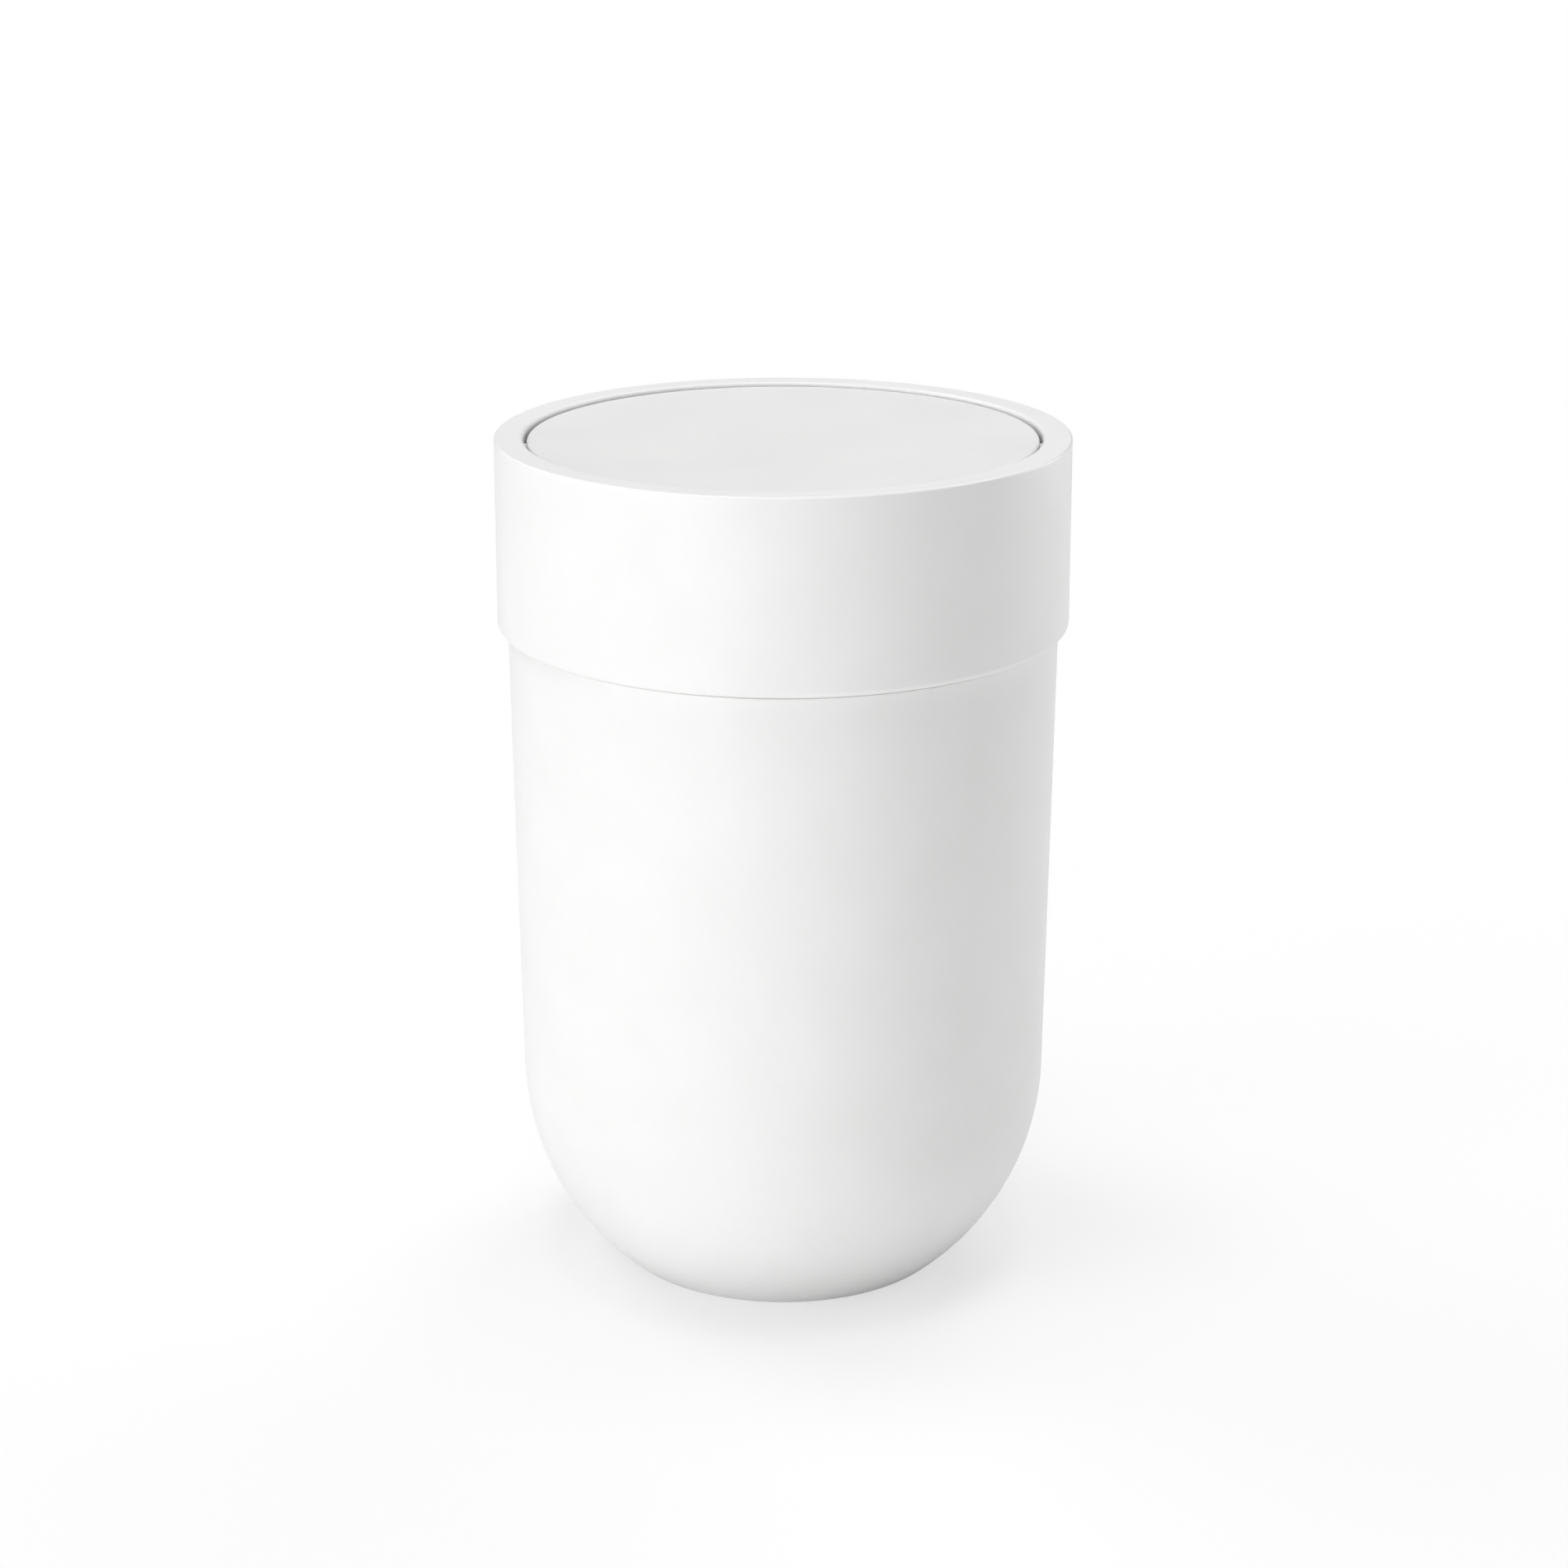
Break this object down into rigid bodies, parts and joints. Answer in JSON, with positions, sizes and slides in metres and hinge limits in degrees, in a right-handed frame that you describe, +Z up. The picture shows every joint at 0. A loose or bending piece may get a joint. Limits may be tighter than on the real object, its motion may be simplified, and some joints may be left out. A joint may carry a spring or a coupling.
{
  "type": "wastebasket",
  "caption": "Small round wastebasket: a round-bottomed tapering can, a tall lift-off collar and a flat balanced flap that swings both ways.",
  "frame": {"origin": "centre of the base, on the surface that the bin stands on", "axes": "+Z up along the can's axis, X along the flap's swing axis, -Y towards a person in front"},
  "size_m": [0.1846, 0.1846, 0.2785],
  "materials": {
    "can_plastic": "white, matt, finely grained moulded plastic",
    "collar_plastic": "white, matt, finely grained moulded plastic",
    "flap_plastic": "white, matt, finely grained moulded plastic",
    "bush_plastic": "natural, smooth acetal",
    "pin_steel": "ground stainless steel",
    "weight_steel": "dull zinc-plated steel",
    "screw_steel": "bright zinc-plated steel"
  },
  "bodies": {
    "can": {"can_body": "can_plastic"},
    "collar": {"lid_frame": "collar_plastic", "pivot_bush_left": "bush_plastic", "pivot_bush_right": "bush_plastic"},
    "flap": {"swing_flap": "flap_plastic", "pivot_pin_left": "pin_steel", "pivot_pin_right": "pin_steel", "counterweight_bar": "weight_steel", "counterweight_screws": "screw_steel"}
  },
  "joints": [
    {"name": "collar_lift", "type": "slide", "parent": "can", "child": "collar", "axis": [0, 0, 1], "range_m": [0, 0.09]},
    {"name": "flap_swing", "type": "hinge", "parent": "collar", "child": "flap", "pos_m": [0, 0, 0.2704], "axis": [1, 0, 0], "range_deg": [-80, 80]}
  ]
}
